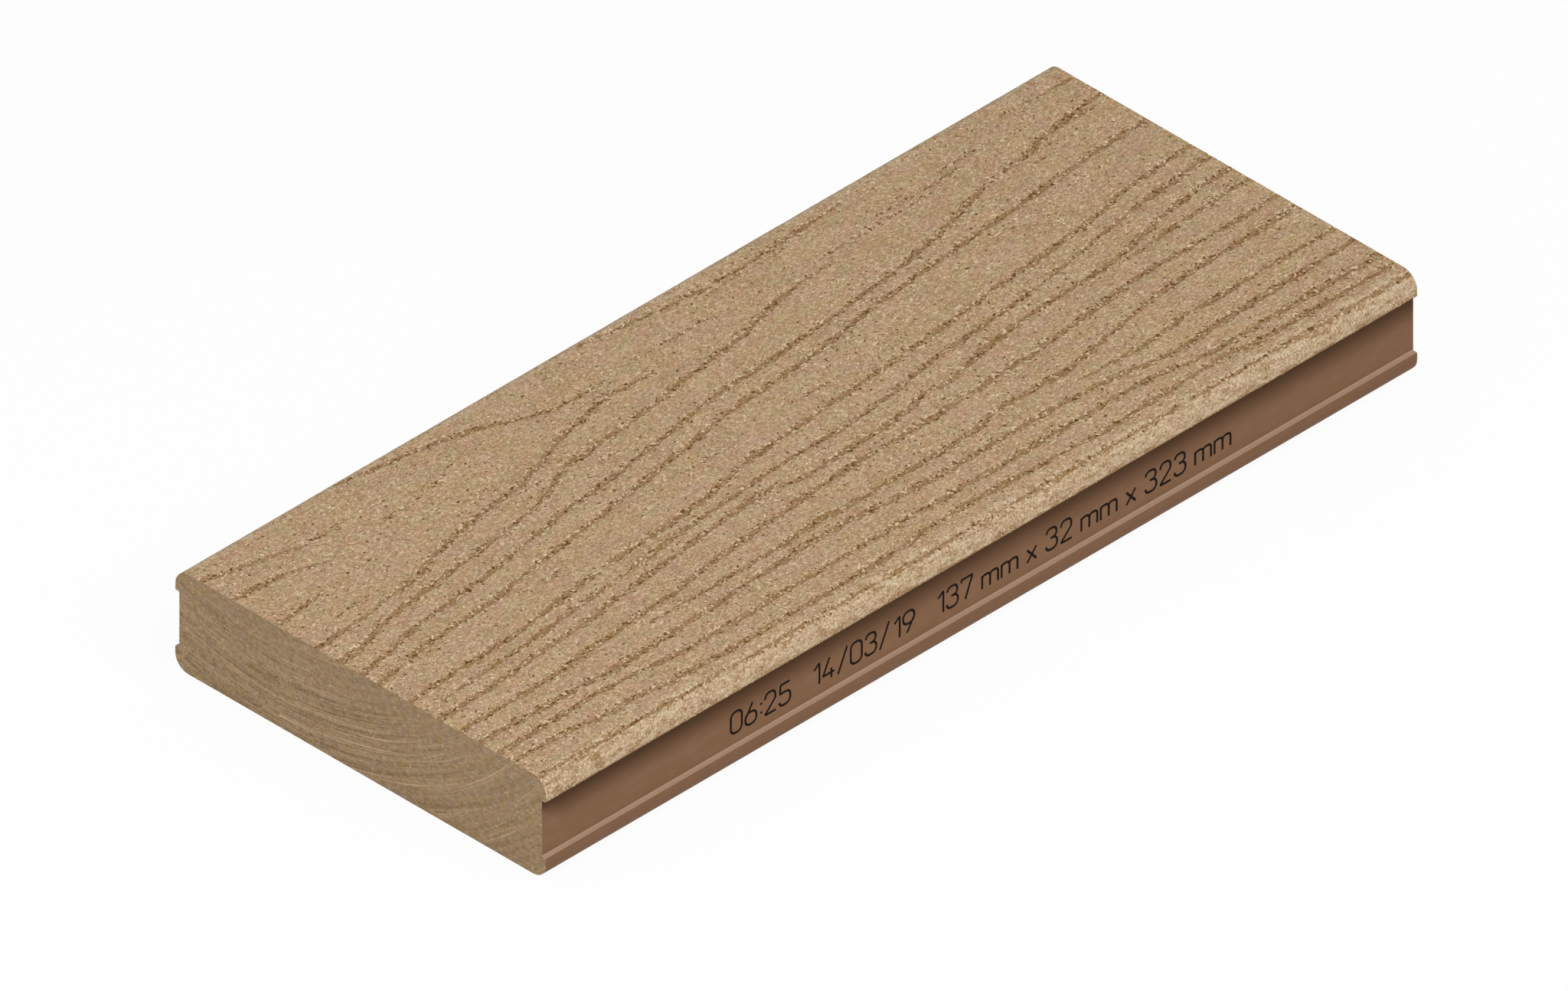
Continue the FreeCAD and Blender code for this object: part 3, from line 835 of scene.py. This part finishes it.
def extruded_composite(sizes, colours):
    """Wood-plastic composite with its skin from the extrusion die: smooth, warm brown and slightly waxy, with
    faint draw lines along the board, painted shade under the upper lip and a painted highlight on the ledge."""
    material, tree = new_material("wood_plastic_composite_extruded")
    position = add_node(tree, "ShaderNodeTexCoord").outputs["Object"]
    place = add_node(tree, "ShaderNodeSeparateXYZ", {0: position}).outputs
    height = place["Z"]
    ceiling = sizes.thickness - sizes.upper_lip
    ledge = sizes.lower_lip
    # A die's draw lines are finer than this. They are drawn as coarse as they need to show.
    draw_lines = clump_noise(tree, position, (90, 0.7, 0.7), offset=3.0)
    mottle = clump_noise(tree, position, (6, 3, 3), detail=3.0, offset=19.0)
    # Light comes in at the near end, so the painted shade under the lip tapers off there.
    near_end = -sizes.length / 2
    open_end = mask(tree, (place["X"], near_end + SHADE_TAPER, near_end - SHADE_TAPER))
    shade_foot = add_node(tree, "ShaderNodeMath", {0: open_end, 1: SHADE_REACH, 2: ceiling - SHADE_REACH},
                          operation="MULTIPLY_ADD").outputs[0]
    colour = painted(tree, colours.skin, [
        (0.05, colours.pale_skin_and_ledge_highlight, (mottle, 0.45, 0.65)),
        (0.04, colours.skin_shaded, (draw_lines, 0.52, 0.35)),
        (0.08, colours.skin_shaded, (height, ledge, ledge - 0.4 * MM)),
        # A painted highlight along the up-facing ledge.
        (0.9, colours.pale_skin_and_ledge_highlight, (height, ledge - 0.15 * MM, ledge - 0.02 * MM),
         (height, ledge + 0.5 * MM, ledge + 0.25 * MM)),
        # Painted shade under the upper lip, deepest just below it.
        (1.0, colours.skin_shaded, (height, shade_foot, ceiling - 0.8 * MM)),
    ])
    rise = relief(tree, [(draw_lines, 0.01), (mottle, 0.02)])
    finish_surface(tree, colour, rise, roughness=0.6, specular=0.1)
    return material


def marking_ink(colours):
    """Black solvent ink from a jet printer, dry on plastic: thin and matt, a little patchy."""
    material, tree = new_material("solvent_ink_matt")
    position = add_node(tree, "ShaderNodeTexCoord").outputs["Object"]
    patchy = clump_noise(tree, position, (1.2, 1.2, 1.2), offset=2.0)
    colour = painted(tree, colours.ink, [(0.2, colours.skin_shaded, (patchy, 0.5, 0.7))])
    finish_surface(tree, colour, relief(tree, [(patchy, 0.01)]), roughness=0.8, specular=0.05)
    return material


def pen_stroke_mesh(text, height, start, level, wall):
    """The text's strokes as loose edges on the right side's groove wall. "corner" is each place's radius.
    Strokes that cross lie one over the other by a hair, so that their faces don't share a plane."""
    places, edges, corners = [], [], []
    cursor = 0.0
    for character in text:
        if character == " ":
            cursor += SPACE_WIDTH
            continue
        strokes = PEN_STROKES[character]
        for layer, stroke in enumerate(strokes):
            first = len(places)
            closed = stroke[0] == stroke[-1]
            for x, z, corner in (stroke[:-1] if closed else stroke):
                places.append((start + (cursor + x) * height * WIDENED,
                               wall - layer * STROKE_LAYER_MM * MM, level + z * height))
                corners.append(max(corner, SHARPEST_CORNER) * height)
            edges += [(i, i + 1) for i in range(first, len(places) - 1)]
            if closed:
                edges.append((len(places) - 1, first))
        cursor += max(x for stroke in strokes for x, _, _ in stroke) + CHARACTER_GAP
    mesh = bpy.data.meshes.new("pen_strokes")
    mesh.from_pydata(places, edges, [])
    mesh.attributes.new("corner", "FLOAT", "POINT").data.foreach_set("value", corners)
    return mesh


def ink_tree():
    """The tree that runs a flat ink line along each pen stroke, with its corners rounded."""
    tree, start = new_geometry_tree("printed_line", {
        "Line Width": "NodeSocketFloat", "Film": "NodeSocketFloat", "Ink": "NodeSocketMaterial"})
    given = start.outputs
    strokes = add_node(tree, "GeometryNodeMeshToCurve", {"Mesh": given["Geometry"]})
    corner = add_node(tree, "GeometryNodeInputNamedAttribute", {"Name": "corner"}, data_type="FLOAT")
    rounded = add_node(tree, "GeometryNodeFilletCurve",
                       {"Curve": strokes.outputs[0], "Radius": corner.outputs["Attribute"], "Count": 6,
                        "Limit Radius": True}, mode="POLY")
    upright = add_node(tree, "GeometryNodeSetCurveNormal",
                       {"Curve": rounded.outputs[0], "Normal": (0.0, -1.0, 0.0)}, mode="FREE")
    nib = add_node(tree, "GeometryNodeCurvePrimitiveQuadrilateral",
                   {"Width": given["Film"], "Height": given["Line Width"]})
    drawn = add_node(tree, "GeometryNodeCurveToMesh",
                     {"Curve": upright.outputs[0], "Profile Curve": nib.outputs[0], "Fill Caps": True})
    flat = add_node(tree, "GeometryNodeSetShadeSmooth",
                    {"Geometry": drawn.outputs[0], "Shade Smooth": False})
    real = add_node(tree, "GeometryNodeRealizeInstances", {"Geometry": flat.outputs[0]})
    inked = add_node(tree, "GeometryNodeSetMaterial",
                     {"Geometry": real.outputs[0], "Material": given["Ink"]})
    add_node(tree, "NodeGroupOutput", {"Geometry": inked.outputs[0]})
    return tree


class DECKING_OT_board(bpy.types.Operator):
    """Makes the board with its embossed walking face, sawn ends and smooth grooved sides"""

    bl_idname = "decking.board"
    bl_label = "Decking board"

    def execute(self, context):
        sizes = context.scene.decking_sizes
        grain = context.scene.decking_grain
        colours = context.scene.decking_colours
        board = new_object("embossed_board", section_mesh(sizes))
        lines = new_object("grain_lines", grain_mesh(sizes))
        make_with_nodes(board, board_tree(), {
            "Grain Lines": lines,
            "Length": sizes.length,
            "Step Along": sizes.step_along,
            "Lip Level": sizes.thickness - sizes.upper_lip + sizes.corner_radius,
            "Brushed Level": sizes.thickness - sizes.upper_lip
                             + BRUSHED_CORNER_SHARE * sizes.corner_radius,
            "Groove Width": grain.width,
            "Groove Depth": grain.depth,
            "Wander": grain.wander,
            "Brushing": grain.brushing,
            "Skin": extruded_composite(sizes, colours),
            "Brushed": brushed_composite(sizes, colours),
            "Sawn": sawn_composite(colours),
        })
        bpy.data.objects.remove(lines)
        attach(board, BODY)
        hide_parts(NODE)
        return {"FINISHED"}


class DECKING_OT_printed_line(bpy.types.Operator):
    """Prints the line of generic figures on the right side's groove wall"""

    bl_idname = "decking.printed_line"
    bl_label = "Printed line"

    def execute(self, context):
        sizes = context.scene.decking_sizes
        wall = -(sizes.width / 2 - sizes.groove_depth)
        strokes = pen_stroke_mesh(PRINTED_LINE, FIGURE_HEIGHT, PRINT_START, PRINT_LEVEL, wall)
        printed = new_object("printed_line", strokes)
        make_with_nodes(printed, ink_tree(), {
            "Line Width": PEN_WIDTH,
            "Film": INK_FILM,
            "Ink": marking_ink(context.scene.decking_colours),
        })
        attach(printed, BODY)
        return {"FINISHED"}


def add_softbox(name, power, place):
    """A square studio lamp at place, turned to the board."""
    lamp = bpy.data.lights.new(name, "AREA")
    lamp.energy = power
    lamp.size = SOFTBOX_SIDE
    softbox = new_object(name, lamp)
    softbox.location = place
    softbox.rotation_euler = Vector(place).to_track_quat("Z", "Y").to_euler()


def white_for_camera(tree):
    """1 for rays from the camera, and for those that a gloss or a clear part sends on."""
    path = add_node(tree, "ShaderNodeLightPath").outputs
    seen = path["Is Camera Ray"]
    for ray in ("Is Glossy Ray", "Is Transmission Ray"):
        seen = add_node(tree, "ShaderNodeMath", {0: seen, 1: path[ray]}, operation="MAXIMUM").outputs[0]
    return seen


def make_floor(size):
    """A plain pale floor that the camera sees as white, apart from a trace of the board's shadow."""
    half = size / 2
    level = NEAR_CORNER[2] - FLOOR_DROP
    corners = [(-half, -half, level), (half, -half, level), (half, half, level), (-half, half, level)]
    mesh = bpy.data.meshes.new("floor")
    mesh.from_pydata(corners, [], [(0, 1, 2, 3)])
    floor = new_object("studio_floor", mesh)
    material, tree = new_material("studio_paper_white")
    seen = white_for_camera(tree)
    share = mask(tree, seen, FLOOR_WHITE_SHARE)
    paper = add_node(tree, "ShaderNodeBsdfDiffuse", {"Color": linear("#F4F4F4")})
    white = add_node(tree, "ShaderNodeEmission", {"Color": linear("#FFFFFF"), "Strength": 1.0})
    mixed = add_node(tree, "ShaderNodeMixShader", {0: share, 1: paper.outputs[0], 2: white.outputs[0]})
    add_node(tree, "ShaderNodeOutputMaterial", {"Surface": mixed.outputs[0]})
    mesh.materials.append(material)


def make_world(scene, ambient):
    """Even white light from all round, and a white background for the camera."""
    world = bpy.data.worlds.new("studio")
    world.use_nodes = True
    tree = world.node_tree
    tree.nodes.clear()
    light = add_node(tree, "ShaderNodeBackground", {"Color": linear("#FFFFFF"), "Strength": ambient})
    backdrop = add_node(tree, "ShaderNodeBackground", {"Color": linear("#FFFFFF"), "Strength": 1.0})
    mixed = add_node(tree, "ShaderNodeMixShader", {0: white_for_camera(tree), 1: light.outputs[0],
                                                   2: backdrop.outputs[0]})
    add_node(tree, "ShaderNodeOutputWorld", {"Surface": mixed.outputs[0]})
    scene.world = world


def make_camera(scene, azimuth, elevation):
    """The photograph's parallel view, with the board's origin on its pixel."""
    lens = bpy.data.cameras.new("camera")
    lens.type = "ORTHO"
    lens.ortho_scale = PHOTO_SIZE_PIXELS[0] / PHOTO_PIXELS_PER_METRE
    camera = new_object("camera", lens)
    camera.rotation_euler = Euler((math.pi / 2 - elevation, 0.0, azimuth))
    turn = camera.rotation_euler.to_matrix()
    off_centre = [(pixel - size / 2) / PHOTO_PIXELS_PER_METRE
                  for pixel, size in zip(BOARD_ORIGIN_PIXEL, PHOTO_SIZE_PIXELS)]
    camera.location = turn @ Vector((-off_centre[0], off_centre[1], CAMERA_DISTANCE))
    scene.camera = camera


class DECKING_OT_studio(bpy.types.Operator):
    """Sets up the floor, the light and the camera"""

    bl_idname = "decking.studio"
    bl_label = "Studio"

    def execute(self, context):
        scene = context.scene
        studio = scene.decking_studio
        make_floor(studio.floor_size)
        make_world(scene, studio.ambient)
        add_softbox("key_softbox", studio.key, KEY_PLACE)
        add_softbox("fill_softbox", studio.fill, FILL_PLACE)
        make_camera(scene, studio.azimuth, studio.elevation)
        scene.view_settings.view_transform = "Standard"
        return {"FINISHED"}


class DECKING_PT_sidebar(bpy.types.Panel):
    """Lists the steps that make the decking board"""

    bl_idname = "DECKING_PT_sidebar"
    bl_label = "Decking board"
    bl_space_type = "VIEW_3D"
    bl_region_type = "UI"
    bl_category = "Decking"

    def draw(self, context):
        for step in STEPS:
            self.layout.operator(step.bl_idname)


STEPS = (DECKING_OT_board, DECKING_OT_printed_line, DECKING_OT_studio)
SETTINGS = {
    "decking_sizes": BoardSizes,
    "decking_grain": GrainSizes,
    "decking_colours": BoardColours,
    "decking_studio": StudioSettings,
}


def register():
    """Makes the settings, the steps and the panel known to Blender."""
    for name, settings in SETTINGS.items():
        bpy.utils.register_class(settings)
        setattr(bpy.types.Scene, name, bpy.props.PointerProperty(type=settings))
    for kind in STEPS + (DECKING_PT_sidebar,):
        bpy.utils.register_class(kind)


def unregister():
    """Takes back what register() made known."""
    for kind in (DECKING_PT_sidebar,) + STEPS[::-1]:
        bpy.utils.unregister_class(kind)
    for name, settings in SETTINGS.items():
        delattr(bpy.types.Scene, name)
        bpy.utils.unregister_class(settings)


def main():
    """Runs every step in order."""
    register()
    bpy.ops.decking.board()
    bpy.ops.decking.printed_line()
    bpy.ops.decking.studio()


if __name__ == "__main__":
    main()
